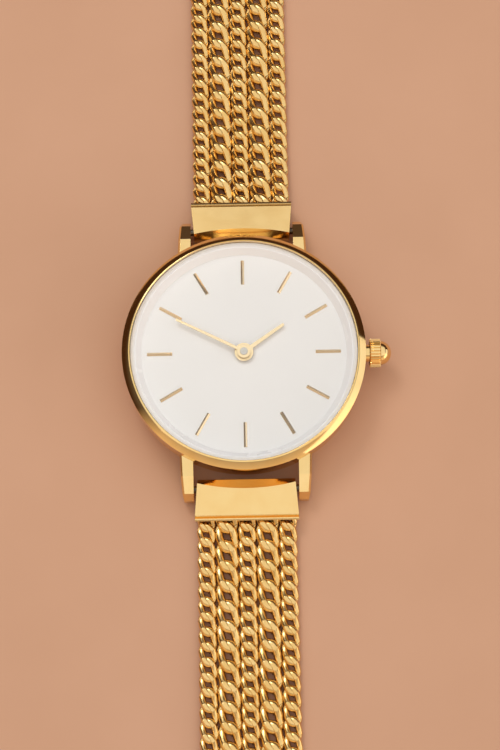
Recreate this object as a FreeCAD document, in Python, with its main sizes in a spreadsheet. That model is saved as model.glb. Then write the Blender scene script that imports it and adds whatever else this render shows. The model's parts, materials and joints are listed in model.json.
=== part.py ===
import FreeCAD, Part
import math
import os
import re
from FreeCAD import Placement, Rotation, Vector

# Bracelet watch, dial up on a table with its bracelet opened flat. Millimetres.
# The origin is the middle of the flat case back, +Z runs up through the dial,
# +Y points at 12 o'clock and +X at the crown.

SIZES = {
    # case and bezel
    "case_radius": 13.9,
    "case_foot_radius": 12.2,
    "case_bottom": 0.55,
    "band_bottom": 2.4,
    "case_top": 4.3,
    "case_bore": 12.5,
    "case_floor": 1.4,
    "neck_radius": 13.4,
    "neck_height": 0.45,
    "bezel_radius": 14.0,
    "bezel_edge_height": 0.7,
    "bezel_top": 6.0,
    "bezel_lip": 0.14,
    "dial_opening": 13.03,
    "back_radius": 11.8,
    "back_thickness": 0.55,
    "back_collar": 11.3,
    "back_collar_wall": 0.45,
    "back_collar_height": 0.6,
    "back_chamfer": 0.25,
    "gasket_wire": 0.16,
    # lugs, at four stations from the case to the tip
    "lug_gap": 12.0,
    "lug_root": 10.5,
    "lug_shoulder": 14.2,
    "lug_knee": 16.1,
    "lug_tip": 16.75,
    "lug_root_width": 1.55,
    "lug_shoulder_width": 1.42,
    "lug_knee_width": 1.27,
    "lug_tip_width": 1.1,
    "lug_root_low": 0.9,
    "lug_shoulder_low": 0.55,
    "lug_knee_low": 0.5,
    "lug_tip_low": 0.85,
    "lug_shoulder_high": 3.65,
    "lug_knee_high": 2.75,
    "lug_tip_high": 1.75,
    "lug_bevel": 0.22,
    "bar_reach": 15.5,
    "bar_height": 2.1,
    "bar_radius": 0.75,
    "bar_bore": 0.45,
    "bar_half": 5.35,
    "bar_tip_radius": 0.4,
    "bar_tip_reach": 6.6,
    "lug_hole_depth": 0.7,
    # glass, dial and markers
    "crystal_thickness": 0.6,
    "crystal_seat": 0.1,
    "seat_width": 0.45,
    "ring_foot": 11.8,
    "ring_brow": 12.45,
    "dial_radius": 12.4,
    "dial_thickness": 0.4,
    "marker_inner": 8.25,
    "marker_outer": 11.14,
    "marker_width": 0.38,
    "marker_rise": 0.2,
    # hands
    "tube_radius": 0.45,
    "pipe_radius": 0.72,
    "hour_hand_low": 4.62,
    "minute_hand_low": 4.92,
    "hand_thickness": 0.15,
    "hour_hand_length": 5.7,
    "hour_hand_width": 0.46,
    "hour_hub": 1.08,
    "hour_turn": 55.0,
    "minute_hand_length": 8.75,
    "minute_hand_width": 0.36,
    "minute_hub": 0.79,
    "minute_turn": 297.0,
    "pin_cap_radius": 0.43,
    # movement
    "plate_radius": 10.0,
    "plate_bottom": 2.0,
    "plate_top": 3.45,
    "bridge_thickness": 0.3,
    "arbor_radius": 0.25,
    "staff_radius": 0.12,
    "wheel_thickness": 0.12,
    "battery_radius": 3.4,
    "battery_thickness": 1.65,
    "train_module": 0.075,
    "rotor_module": 0.07,
    "minute_module": 0.1,
    "hour_module": 0.096,
    "centre_teeth": 64,
    "third_pinion_teeth": 8,
    "third_teeth": 60,
    "rotor_teeth": 8,
    "cannon_teeth": 12,
    "minute_teeth": 36,
    "minute_pinion_teeth": 10,
    "hour_teeth": 40,
    # crown
    "crown_axis": 3.2,
    "crown_gap": 0.5,
    "crown_radius": 1.66,
    "crown_grip": 1.25,
    "crown_flutes": 30,
    "dome_radius": 1.38,
    "dome_length": 1.25,
    "stem_radius": 0.45,
    "stem_tip": 5.2,
    "groove_at": 7.1,
    "groove_radius": 0.25,
    "groove_width": 0.34,
    "tube_outer": 1.0,
    "tube_end": 15.75,
    "crown_hollow": 1.5,
    # end pieces
    "barrel_radius": 1.15,
    "end_length": 3.55,
    "end_lip_height": 0.85,
    "end_wall": 0.25,
    "end_floor": 0.3,
    "end_half": 5.92,
    "end_half_case": 5.55,
    "end_shoulder": 1.5,
    "end_round": 0.3,
    "chain_drop": 0.15,
    "hinge_beyond_lip": 0.8,
    "pocket_back": 1.4,
    "solder_bar": 1.0,
    "tilt_12": 10.0,
    "tilt_6": 15.0,
    # curb chains
    "row_length": 6.8,
    "rows": 8,
    "large_links": 3,
    "small_links": 4,
    "large_width": 2.55,
    "small_width": 1.95,
    "large_wire": 0.7,
    "small_wire": 0.54,
    "large_flat": 1.26,
    "small_flat": 1.0,
    "link_play": 0.1,
    "strand_gap": 0.08,
    "link_twist": 45.0,
    "floor_play": 0.03,
    # clasp
    "pin_radius": 0.5,
    "clasp_length": 16.0,
    "clasp_sheet": 0.5,
    "clasp_wall_top": 2.2,
    "clasp_bend": 1.4,
    "lid_knuckle": 0.9,
    "ladder_width": 7.6,
    "ladder_length": 14.0,
    "ladder_rungs": 4,
    "rung_width": 1.3,
    # fits
    "running": 0.05,
    "seat": 0.03,
}

doc = FreeCAD.newDocument("bracelet_watch")
sheet = doc.addObject("Spreadsheet::Sheet", "Sizes")
for row, (alias, value) in enumerate(SIZES.items(), 1):
    sheet.set(f"A{row}", alias)
    sheet.set(f"B{row}", str(value))
    sheet.setAlias(f"B{row}", alias)
doc.recompute()


class Cells:
    """The driving sizes, read back from the sheet."""


size = Cells()
for alias in SIZES:
    setattr(size, alias, float(sheet.get(alias)))

X, Y, Z = Vector(1, 0, 0), Vector(0, 1, 0), Vector(0, 0, 1)
ALONG_X = Rotation(Z, X)
TURNED = Rotation(Z, 180)
nodes = []


def bind(item, **cells):
    """Tie properties to sums and products of the sheet's cells."""
    for prop, text in cells.items():
        path = {"x": "Placement.Base.x", "y": "Placement.Base.y", "z": "Placement.Base.z"}.get(prop, prop)
        item.setExpression(path, re.sub(r"\b([a-z]\w+)\b", r"Sizes.\1", str(text)))
    return item


def primitive(kind, name, turn=None, **cells):
    item = doc.addObject("Part::" + kind, name)
    if turn:
        item.Placement = Placement(Vector(), turn)
    return bind(item, **cells)


def cylinder(name, Radius, Height, **cells):
    return primitive("Cylinder", name, Radius=Radius, Height=Height, **cells)


def cone(name, Radius1, Radius2, Height, **cells):
    return primitive("Cone", name, Radius1=Radius1, Radius2=Radius2, Height=Height, **cells)


def box(name, Length, Width, Height, **cells):
    return primitive("Box", name, Length=Length, Width=Width, Height=Height, **cells)


def fuse(name, *items):
    item = doc.addObject("Part::MultiFuse", name)
    item.Shapes = list(items)
    return item


def cut(name, base, *tools):
    item = doc.addObject("Part::Cut", name)
    item.Base = base
    item.Tool = tools[0] if len(tools) == 1 else fuse(name + "_tools", *tools)
    return item


def solid(name, shape, place=None):
    """A shape made with Part's own functions, for forms that no primitive gives."""
    item = doc.addObject("Part::Feature", name)
    item.Shape = shape
    if place:
        item.Placement = place
    return item


def node(name, item):
    item.Label = name
    nodes.append(item)
    return item


def ring(name, outer, inner, height, **cells):
    """A flat ring between two radii."""
    low = cells.get("z", "0")
    rim = cylinder(name + "_rim", outer, height, **cells)
    hole = cylinder(name + "_hole", inner, f"({height}) + 2", z=f"({low}) - 1")
    return cut(name, rim, hole)


def prism(points, depth):
    """A closed outline in any plane, pushed along depth."""
    outline = Part.makePolygon([Vector(*p) for p in points + points[:1]])
    return Part.Face(outline).extrude(depth)


def gear_form(teeth, module, thickness, phase):
    """A toothed wheel with narrowed teeth, one tooth centred at the phase angle."""
    pitch = 2 * math.pi / teeth
    pitch_radius = module * teeth / 2
    tooth = (
        (pitch_radius - 1.15 * module, 0.30),
        (pitch_radius, 0.205),
        (pitch_radius + 0.85 * module, 0.12),
    )
    flanks = [(r, -share) for r, share in tooth] + [(r, share) for r, share in reversed(tooth)]
    points = []
    for count in range(teeth):
        middle = phase + count * pitch
        for radius, share in flanks:
            turn = middle + share * pitch
            points.append((radius * math.cos(turn), radius * math.sin(turn), 0))
    return prism(points, Z * thickness)


def at(shape, x, y, z):
    moved = shape.copy()
    moved.translate(Vector(x, y, z))
    return moved


def rod(radius, low, high, x=0.0, y=0.0):
    return Part.makeCylinder(radius, high - low, Vector(x, y, low))


def cross_rod(radius, low, high, y, z):
    return Part.makeCylinder(radius, high - low, Vector(low, y, z), X)


# case middle: a band and a tapering foot, four lugs, then the bores

def lug(side, end):
    """One lug, lofted straight between its stations, with a bevel down its outer edge."""
    stations = (
        (size.lug_root, size.lug_root_width, size.lug_root_low, size.case_top - size.seat),
        (size.lug_shoulder, size.lug_shoulder_width, size.lug_shoulder_low, size.lug_shoulder_high),
        (size.lug_knee, size.lug_knee_width, size.lug_knee_low, size.lug_knee_high),
        (size.lug_tip, size.lug_tip_width, size.lug_tip_low, size.lug_tip_high),
    )
    inner = size.lug_gap / 2
    bevel = size.lug_bevel
    sections = []
    for reach, width, low, high in stations:
        outline = [(inner, low), (inner + width, low), (inner + width, high - bevel),
                   (inner + width - bevel, high), (inner, high)]
        points = [Vector(side * x, end * reach, z) for x, z in outline]
        sections.append(Part.makePolygon(points + points[:1]))
    hole = cross_rod(size.bar_tip_radius + size.seat, 0, size.lug_hole_depth + 1, 0, 0)
    if side < 0:
        hole.rotate(Vector(), Z, 180)
    hole.translate(Vector(side * (inner - 1), end * size.bar_reach, size.bar_height))
    return Part.makeLoft(sections, True, True).cut(hole)


band = cylinder("case_band", "case_radius", "case_top - band_bottom", z="band_bottom")
foot = cone("case_foot", "case_foot_radius", "case_radius", "band_bottom - case_bottom", z="case_bottom")
neck = cylinder("case_neck", "neck_radius", "neck_height + 1", z="case_top - 1")
lugs = [solid(f"lug_{side}_{end}", lug(side, end)) for side in (1, -1) for end in (1, -1)]
barrel = fuse("case_barrel", band, foot, neck, *lugs)
main_bore = cylinder("case_main_bore", "case_bore", "case_top - case_floor", z="case_floor")
neck_bore = cylinder("case_neck_bore", "dial_opening + seat", "neck_height + 1", z="case_top")
back_bore = cylinder("case_back_bore", "back_collar + seat", "case_floor + 1", z="-1")
back_seat = cylinder("case_back_seat", "back_radius + seat", "back_thickness + 1", z="-1")
tube_bore = primitive("Cylinder", "case_tube_bore", ALONG_X, Radius="tube_outer",
                      Height="5", x="case_bore - 1", z="crown_axis")
node("case_middle", cut("case_middle", barrel, main_bore, neck_bore, back_bore, back_seat, tube_bore))

disc = cone("back_edge", "back_radius - back_chamfer", "back_radius", "back_chamfer")
upper = cylinder("back_disc", "back_radius", "back_thickness - back_chamfer", z="back_chamfer")
collar = ring("back_collar", "back_collar", "back_collar - back_collar_wall", "back_collar_height + 0.1",
              z="back_thickness - 0.1")
node("case_back", fuse("case_back", disc, upper, collar))


def gasket(name, radius, height):
    """A round-section sealing ring."""
    item = primitive("Torus", name, Radius1=radius, Radius2="gasket_wire", z=height)
    return node(name, item)


gasket("case_back_gasket", "back_collar - back_collar_wall - gasket_wire", "back_thickness + gasket_wire")

edge = cylinder("bezel_edge", "bezel_radius", "bezel_edge_height", z="case_top")
slope = cone("bezel_slope", "bezel_radius", "dial_opening + bezel_lip",
             "bezel_top - case_top - bezel_edge_height", z="case_top + bezel_edge_height")
opening = cylinder("bezel_opening", "dial_opening", "bezel_top", z="case_top - 1")
recess = cylinder("bezel_recess", "neck_radius + seat", "neck_height + seat + 1", z="case_top - 1")
node("bezel", cut("bezel", fuse("bezel_body", edge, slope), opening, recess))

glass_low = "bezel_top - crystal_thickness"
node("crystal", cylinder("crystal", "dial_opening - seat", "crystal_thickness", z=glass_low))
node("crystal_gasket", ring("crystal_gasket", "dial_opening - seat", "dial_opening - seat_width",
                            "crystal_seat", z=glass_low + " - crystal_seat"))

ring_height = "bezel_top - crystal_thickness - crystal_seat - case_top"
flange = cylinder("flange_rim", "dial_opening - seat", ring_height, z="case_top")
hollow = cone("flange_slope", "ring_foot", "ring_brow", ring_height, z="case_top")
node("dial_ring", cut("dial_ring", flange, hollow))

dial_low = "case_top - dial_thickness"
disc = cylinder("dial_disc", "dial_radius", "dial_thickness", z=dial_low)
hole = cylinder("dial_hole", "pipe_radius + 2 * running", "2", z="case_top - 1")
node("dial", cut("dial", disc, hole))


def marker(turn):
    """A raised baton with a ridge along its middle."""
    half = size.marker_width / 2
    shoulder = size.marker_rise * 0.35
    outline = [(size.marker_inner, -half, 0), (size.marker_inner, half, 0), (size.marker_inner, half, shoulder),
               (size.marker_inner, 0, size.marker_rise), (size.marker_inner, -half, shoulder)]
    baton = prism(outline, X * (size.marker_outer - size.marker_inner))
    baton.translate(Z * size.case_top)
    baton.rotate(Vector(), Z, turn)
    return baton


node("hour_markers", solid("hour_markers", Part.makeCompound([marker(30 * hour) for hour in range(12)])))


# hands, each on its tube

def hand(length, width, hub, bore, low, turn):
    """A slim straight hand that narrows a little to a rounded tip, with a round hub."""
    tip = width * 0.36
    blade = prism([(-width / 2, 0, 0), (width / 2, 0, 0), (tip, length - tip, 0), (-tip, length - tip, 0)],
                  Z * size.hand_thickness)
    parts = [blade, Part.makeCylinder(tip, size.hand_thickness, Vector(0, length - tip, 0)),
             Part.makeCylinder(hub, size.hand_thickness)]
    shape = parts[0].fuse(parts[1:]).removeSplitter().cut(Part.makeCylinder(bore, 1))
    shape.rotate(Vector(), Z, -turn)
    return at(shape, 0, 0, low)


hour_shape = hand(size.hour_hand_length, size.hour_hand_width, size.hour_hub, size.pipe_radius,
                  size.hour_hand_low, size.hour_turn)
node("hour_hand", solid("hour_hand", hour_shape))
minute_shape = hand(size.minute_hand_length, size.minute_hand_width, size.minute_hub, size.tube_radius,
                    size.minute_hand_low, size.minute_turn)
node("minute_hand", solid("minute_hand", minute_shape))

# movement: the wheel places follow from the tooth counts

centre_to_third = size.train_module * (size.centre_teeth + size.third_pinion_teeth) / 2
third_to_rotor = size.rotor_module * (size.third_teeth + size.rotor_teeth) / 2
centre_to_minute = size.minute_module * (size.cannon_teeth + size.minute_teeth) / 2
third_turn = math.radians(200)
rotor_turn = math.radians(250)
third_at = Vector(math.cos(third_turn), math.sin(third_turn), 0) * centre_to_third
rotor_at = third_at + Vector(math.cos(rotor_turn), math.sin(rotor_turn), 0) * third_to_rotor
minute_at = Vector(0, centre_to_minute, 0)
battery_at = Vector(4.5, 4.4, 0)
coil_y = -5.9
coil_span = (-5.0, 2.0)
stator_level = size.plate_bottom + 0.25
wheel = size.wheel_thickness
post = size.staff_radius + size.running
bridge_low = size.plate_bottom - size.bridge_thickness


def facing_gap(direction, teeth):
    """The phase that turns the gap between two teeth back towards a partner in this direction."""
    return direction + math.pi + math.pi / teeth


def main_plate():
    """The dial-side plate, pocketed from below for the train, coil, cell and crown work."""
    plate = rod(size.plate_radius, size.plate_bottom, size.plate_top)
    low = size.plate_bottom - 0.1
    roof = size.plate_top - 0.35
    pockets = [
        rod(size.train_module * size.centre_teeth / 2 + 0.2, low, roof),
        rod(size.rotor_module * size.third_teeth / 2 + 0.2, low, roof, third_at.x, third_at.y),
        rod(1.65, low, roof, rotor_at.x, rotor_at.y),
        Part.makeBox(9.6, 4.4, roof + 0.2 - low, Vector(-6.2, -6.8, low)),
        rod(size.battery_radius + 0.1, low, roof + 0.3, battery_at.x, battery_at.y),
        Part.makeBox(4.6, 2.4, 0.6, Vector(-7.7, 1.5, low)),
        Part.makeBox(4.9, 1.4, 1.55, Vector(-6.15, 4.5, low)),
        Part.makeBox(3.8, 3.7, roof + 0.3 - low, Vector(5.55, -3.1, low)),
        cross_rod(size.stem_radius + size.running, size.stem_tip - 0.3, size.plate_radius + 1, 0, size.crown_axis),
        rod(size.arbor_radius + size.running, low, size.plate_top + 1),
        rod(post, low, size.plate_top - 0.1, third_at.x, third_at.y),
        rod(post, low, size.plate_top - 0.1, rotor_at.x, rotor_at.y),
    ]
    stud = rod(size.arbor_radius - size.running, size.plate_top - 0.2, size.plate_top + 0.42, 0, centre_to_minute)
    return plate.cut(pockets).fuse(stud)


node("main_plate", solid("main_plate", main_plate()))

screws_at = [Vector(2.1, -2.0, 0), Vector(-2.2, 2.2, 0), Vector(-6.9, -3.4, 0)]
screw_radius = 0.3


def train_bridge():
    """The lower plate that carries the other end of every staff."""
    low, high = bridge_low, size.plate_bottom
    lobes = [rod(3.7, low, high), rod(2.6, low, high, -4.6, -2.4)]
    bridge = lobes[0].fuse(lobes[1:]).removeSplitter()
    lug_lobe = rod(0.8, low, high, screws_at[2].x, screws_at[2].y)
    bridge = bridge.fuse(lug_lobe)
    bridge = bridge.cut(rod(size.battery_radius + 0.1, low - 1, high + 1, battery_at.x, battery_at.y))
    holes = [rod(post, low - 1, high + 1, p.x, p.y) for p in (third_at, rotor_at)]
    holes.append(rod(size.arbor_radius + size.running, low - 1, high + 1))
    holes += [rod(screw_radius, low - 1, high + 1, p.x, p.y) for p in screws_at]
    return bridge.cut(holes)


node("train_bridge", solid("train_bridge", train_bridge()))


def bridge_screw(place):
    head = rod(screw_radius * 2, bridge_low - 0.18, bridge_low, place.x, place.y)
    shank = rod(screw_radius, bridge_low - 0.1, size.plate_bottom, place.x, place.y)
    slot = Part.makeBox(2, 0.12, 0.08, Vector(place.x - 1, place.y - 0.06, bridge_low - 0.18))
    return head.fuse(shank).cut(slot)


screws = Part.makeCompound([bridge_screw(place) for place in screws_at])
node("bridge_screws", solid("bridge_screws", screws))

cell_low = size.plate_top - 0.1 - size.battery_thickness
can = rod(size.battery_radius, cell_low, cell_low + size.battery_thickness, battery_at.x, battery_at.y)
step = rod(size.battery_radius - 0.35, cell_low - 0.15, cell_low, battery_at.x, battery_at.y)
node("battery", solid("battery", can.fuse(step)))


def drive_coil():
    middle = stator_level + 0.38
    winding = cross_rod(0.62, coil_span[0], coil_span[1], coil_y, middle)
    core = Part.makeBox(coil_span[1] - coil_span[0] + 2.0, 0.7, 0.25,
                        Vector(coil_span[0] - 1.0, coil_y - 0.35, stator_level + 0.25))
    return winding.fuse(core)


node("drive_coil", solid("drive_coil", drive_coil()))


def stator():
    """The iron plate that carries the coil's field round the rotor."""
    arms = [
        Part.makeBox(3.0, 1.1, 0.25, Vector(-6.0, rotor_at.y - 0.55, stator_level)),
        Part.makeBox(0.9, 3.8, 0.25, Vector(-6.0, coil_y - 0.4, stator_level)),
        Part.makeBox(1.0, 1.4, 0.25, Vector(rotor_at.x - 0.5, rotor_at.y - 2.0, stator_level)),
        Part.makeBox(6.9, 0.55, 0.25, Vector(rotor_at.x - 0.5, rotor_at.y - 2.0, stator_level)),
        Part.makeBox(0.9, 1.5, 0.25, Vector(2.1, coil_y - 0.4, stator_level)),
    ]
    eye = rod(1.35, stator_level, stator_level + 0.25, rotor_at.x, rotor_at.y)
    return eye.fuse(arms).cut(rod(0.75, 0, 9, rotor_at.x, rotor_at.y)).removeSplitter()


node("stator", solid("stator", stator()))
board = Part.makeBox(4.4, 2.2, 0.25, Vector(-7.6, 1.6, size.plate_bottom + 0.24))
chip = Part.makeBox(1.5, 1.4, 0.2, Vector(-6.6, 2.0, size.plate_bottom + 0.04))
node("circuit_board", solid("circuit_board", board.fuse(chip)))
node("oscillator_can", solid("oscillator_can", cross_rod(0.6, -6.0, -1.4, 5.2, size.plate_bottom + 0.75)))

holder = ring("holder", "case_bore - seat", "plate_radius + seat", "case_top - dial_thickness - case_floor",
              z="case_floor")
channel = primitive("Cylinder", "holder_channel", ALONG_X, Radius="tube_outer + seat", Height="6",
                    x="plate_radius - 1", z="crown_axis")
node("movement_holder", cut("movement_holder", holder, channel))

wheel_level = size.plate_bottom + 0.3
third_level = size.plate_bottom + 0.75
motion_low = size.plate_top + 0.05
motion_high = motion_low + wheel + 0.06
staff_low = bridge_low + 0.05
staff_high = size.plate_top - 0.15


def minute_arbor():
    """Centre wheel, staff, cannon pinion and the tube that carries the minute hand."""
    top = size.minute_hand_low + size.hand_thickness
    parts = [
        at(gear_form(int(size.centre_teeth), size.train_module, wheel, third_turn), 0, 0, wheel_level),
        at(gear_form(int(size.cannon_teeth), size.minute_module, wheel + 0.02, math.pi / 2), 0, 0, motion_low - 0.01),
        rod(size.tube_radius, motion_low + wheel, top),
        rod(size.pin_cap_radius, top - 0.01, top + 0.09),
    ]
    return rod(size.arbor_radius, staff_low, top).fuse(parts)


node("minute_arbor", solid("minute_arbor", minute_arbor()))


def hour_wheel():
    teeth = int(size.hour_teeth)
    toothed = at(gear_form(teeth, size.hour_module, wheel, math.pi / 2), 0, 0, motion_high)
    pipe = rod(size.pipe_radius, motion_high, size.hour_hand_low + size.hand_thickness)
    return toothed.fuse(pipe).cut(rod(size.tube_radius + size.running, 0, 9))


node("hour_wheel", solid("hour_wheel", hour_wheel()))


def minute_wheel():
    gap = facing_gap(math.pi / 2, int(size.minute_teeth))
    toothed = gear_form(int(size.minute_teeth), size.minute_module, wheel, gap)
    gap = facing_gap(math.pi / 2, int(size.minute_pinion_teeth))
    pinion = gear_form(int(size.minute_pinion_teeth), size.hour_module, motion_high - motion_low + wheel, gap)
    shape = toothed.fuse(pinion).cut(rod(size.arbor_radius, -1, 9))
    return at(shape, minute_at.x, minute_at.y, motion_low)


node("minute_wheel", solid("minute_wheel", minute_wheel()))


def third_wheel():
    gap = facing_gap(third_turn, int(size.third_pinion_teeth))
    pinion = at(gear_form(int(size.third_pinion_teeth), size.train_module, 0.3, gap), 0, 0, wheel_level - 0.09)
    toothed = at(gear_form(int(size.third_teeth), size.rotor_module, wheel, rotor_turn), 0, 0, third_level)
    shape = rod(size.staff_radius, staff_low, staff_high).fuse([pinion, toothed, rod(0.2, wheel_level, third_level)])
    return at(shape, third_at.x, third_at.y, 0)


node("third_wheel", solid("third_wheel", third_wheel()))


def rotor():
    gap = facing_gap(rotor_turn, int(size.rotor_teeth))
    pinion = at(gear_form(int(size.rotor_teeth), size.rotor_module, 0.3, gap), 0, 0, third_level - 0.09)
    magnet = rod(0.6, stator_level - 0.08, stator_level + 0.33)
    shape = rod(size.staff_radius, staff_low, staff_high).fuse([pinion, magnet])
    return at(shape, rotor_at.x, rotor_at.y, 0)


node("rotor", solid("rotor", rotor()))

# crown work

grip_low = size.case_radius + size.crown_gap
grip_high = grip_low + size.crown_grip
seal_at = grip_low + size.crown_hollow / 2


def crown():
    """A fluted drum with a smooth domed cap, hollow where it covers the case tube."""
    drum = cross_rod(size.crown_radius, grip_low, grip_high, 0, 0)
    flutes = int(size.crown_flutes)
    flute_radius = math.pi * size.crown_radius / flutes * 0.62
    cutters = []
    for count in range(flutes):
        turn = 2 * math.pi * count / flutes
        reach = size.crown_radius + flute_radius * 0.35
        cutters.append(cross_rod(flute_radius, grip_low - 1, grip_high + 1,
                                 reach * math.cos(turn), reach * math.sin(turn)))
    drum = drum.cut(cutters)
    ellipse = Part.Ellipse(Vector(0, size.dome_radius, 0), Vector(size.dome_length, 0, 0), Vector())
    cap = Part.ArcOfEllipse(ellipse, 0, math.pi / 2).toShape()
    rim, tip = Vector(0, size.dome_radius, 0), Vector(size.dome_length, 0, 0)
    outline = Part.Wire(Part.__sortEdges__([cap, Part.makeLine(tip, Vector()), Part.makeLine(Vector(), rim)]))
    dome = Part.Face(outline).revolve(Vector(), X, 360)
    dome.translate(X * grip_high)
    hollow = cross_rod(size.tube_outer + size.running, grip_low - 1, grip_low + size.crown_hollow, 0, 0)
    groove = cross_rod(size.tube_outer + 2 * size.gasket_wire + 0.06, seal_at - size.gasket_wire - 0.02,
                       seal_at + size.gasket_wire + 0.02, 0, 0)
    socket = cross_rod(size.stem_radius, 0, grip_low + size.crown_hollow + 0.5, 0, 0)
    return at(drum.fuse(dome).cut([hollow, groove, socket]), 0, 0, size.crown_axis)


node("crown", solid("crown", crown()))
seal_ring = Part.makeTorus(size.tube_outer + size.gasket_wire + 0.02, size.gasket_wire,
                           Vector(seal_at, 0, size.crown_axis), X)
node("crown_gasket", solid("crown_gasket", seal_ring))


def stem():
    rear = size.groove_at - size.groove_width / 2
    front = size.groove_at + size.groove_width / 2
    parts = [
        cross_rod(size.groove_radius, rear - 0.01, front + 0.01, 0, size.crown_axis),
        cross_rod(size.stem_radius, front, grip_low + size.crown_hollow + 0.5, 0, size.crown_axis),
    ]
    return cross_rod(size.stem_radius, size.stem_tip, rear, 0, size.crown_axis).fuse(parts)


node("setting_stem", solid("setting_stem", stem()))
tube = cross_rod(size.tube_outer, size.case_bore - 0.05, size.tube_end, 0, size.crown_axis)
tube = tube.cut(cross_rod(size.stem_radius + size.running, 0, 20, 0, size.crown_axis))
node("stem_tube", solid("stem_tube", tube))


def setting_lever():
    """The flat lever whose fork sits in the stem's groove."""
    half = size.groove_width / 2 - size.running
    fork = Part.makeBox(2 * half, 1.6, 1.15, Vector(size.groove_at - half, -1.1, size.plate_bottom + 0.2))
    gap = size.groove_radius + size.running
    slot = Part.makeBox(2, 2 * gap, 2, Vector(size.groove_at - 1, -gap, size.crown_axis))
    eye = cross_rod(gap, size.groove_at - 1, size.groove_at + 1, 0, size.crown_axis)
    foot = Part.makeBox(1.6, 1.7, 0.3, Vector(size.groove_at - 0.8, -2.7, size.plate_bottom + 0.2))
    return fork.fuse(foot).cut([slot, eye])


node("setting_lever", solid("setting_lever", setting_lever()))


def spring_bar(end):
    """A tube with a sprung, shouldered plunger at each end."""
    y, z = end * size.bar_reach, size.bar_height
    half = size.bar_half
    tube = cross_rod(size.bar_radius, -half, half, y, z).cut(cross_rod(size.bar_bore, -9, 9, y, z))
    spring = cross_rod(size.bar_bore - 0.03, 1.0 - half, half - 1.0, y, z).cut(cross_rod(0.28, -9, 9, y, z))
    tips = []
    for side in (-1, 1):
        reach = sorted((side * (half - 1.0), side * size.bar_tip_reach))
        shoulder = sorted((side * half, side * (half + 0.15)))
        tip = cross_rod(size.bar_tip_radius, *reach, y, z).fuse(cross_rod(0.6, *shoulder, y, z))
        tips.append(tip)
    return [tube, spring] + tips


node("spring_bars", solid("spring_bars", Part.makeCompound(spring_bar(1) + spring_bar(-1))))

# curb chain links

SMALL = (size.small_width, size.small_wire, size.small_flat, int(size.small_links))
LARGE = (size.large_width, size.large_wire, size.large_flat, int(size.large_links))
STRANDS = (SMALL, LARGE, SMALL, LARGE, SMALL)
WIRE_FACETS = 8


def wire_section(place, inward, axis, radius, first_turn):
    """The corners of the eight-sided wire, whose facets are filed along its whole length."""
    turns = [first_turn + 2 * math.pi * (count + 0.5) / WIRE_FACETS for count in range(WIRE_FACETS)]
    return [place + (inward * math.cos(turn) + axis * math.sin(turn)) * radius for turn in turns]


def outline(points):
    return Part.makePolygon(points + points[:1])


def curb_link(width, wire, flat, count):
    """One twisted oval link, its long axis on Y, cut flat above and below.

    Each quarter of the wire lies in one plane: half of a straight side, then an arc
    into the end, which leans by the twist. Half turns about X, Y and Z give the rest.
    """
    twist = math.radians(size.link_twist)
    reach = (width - wire) / 2
    length = (size.row_length / count + wire + size.link_play) / 2
    slope = math.atan(reach / length * math.tan(twist))
    side_run = Vector(0, math.cos(slope), math.sin(slope))
    end_run = Vector(-math.cos(twist), 0, -math.sin(twist))
    bend = reach / math.cos(twist)
    turn = side_run.getAngle(end_run)
    arc_start = Vector(reach, 0, 0) + side_run * (length / math.cos(slope) - bend)
    inward = (end_run - side_run * side_run.dot(end_run)).normalize()
    axis = side_run.cross(end_run).normalize()
    end_inward = Rotation(axis, math.degrees(turn)) * inward
    first_turn = math.atan2(Y.dot(axis), Y.dot(end_inward))
    corners = wire_section(arc_start, inward, axis, wire / 2, first_turn)
    section = Part.Face(outline(corners))
    quarter = section.revolve(arc_start + inward * bend / math.tan(turn / 2), axis, math.degrees(turn))
    side_turn = math.atan2(X.dot(axis), X.dot(inward))
    last = round((side_turn - first_turn) * WIRE_FACETS / math.pi) - 1
    half_turn = Rotation(X, 180)
    far_corners = [half_turn * corners[(last - count) % WIRE_FACETS] for count in range(WIRE_FACETS)]
    side = Part.makeLoft([outline(corners), outline(far_corners)], True, True)
    pieces = [quarter, side]
    for turned, axes in ((quarter, (X, Y, Z)), (side, (Z,))):
        for direction in axes:
            piece = turned.copy()
            piece.rotate(Vector(), direction, 180)
            pieces.append(piece)
    loop = pieces[0].fuse(pieces[1:])
    slab = Part.makeBox(2 * width, 4 * length, flat, Vector(-width, -2 * length, -flat / 2))
    return loop.common(slab).Solids[0]


FORMS = {strand: curb_link(*strand) for strand in (SMALL, LARGE)}
band_width = sum(strand[0] for strand in STRANDS) + size.strand_gap * (len(STRANDS) - 1)


def strand_places():
    """Each strand with the X of its middle, from left to right."""
    left = -band_width / 2
    for strand in STRANDS:
        yield strand, left + strand[0] / 2
        left += strand[0] + size.strand_gap


def chain_row():
    """One row of the bracelet, from its near hinge line at Y = 0 to its far one."""
    links = []
    for strand, x in strand_places():
        pitch = size.row_length / strand[3]
        for count in range(strand[3]):
            links.append(at(FORMS[strand], x, pitch * (count + 0.5), 0))
    return Part.makeCompound(links)


def side_outline(points):
    return prism([(0, y, z) for y, z in points], X * 20)


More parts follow.
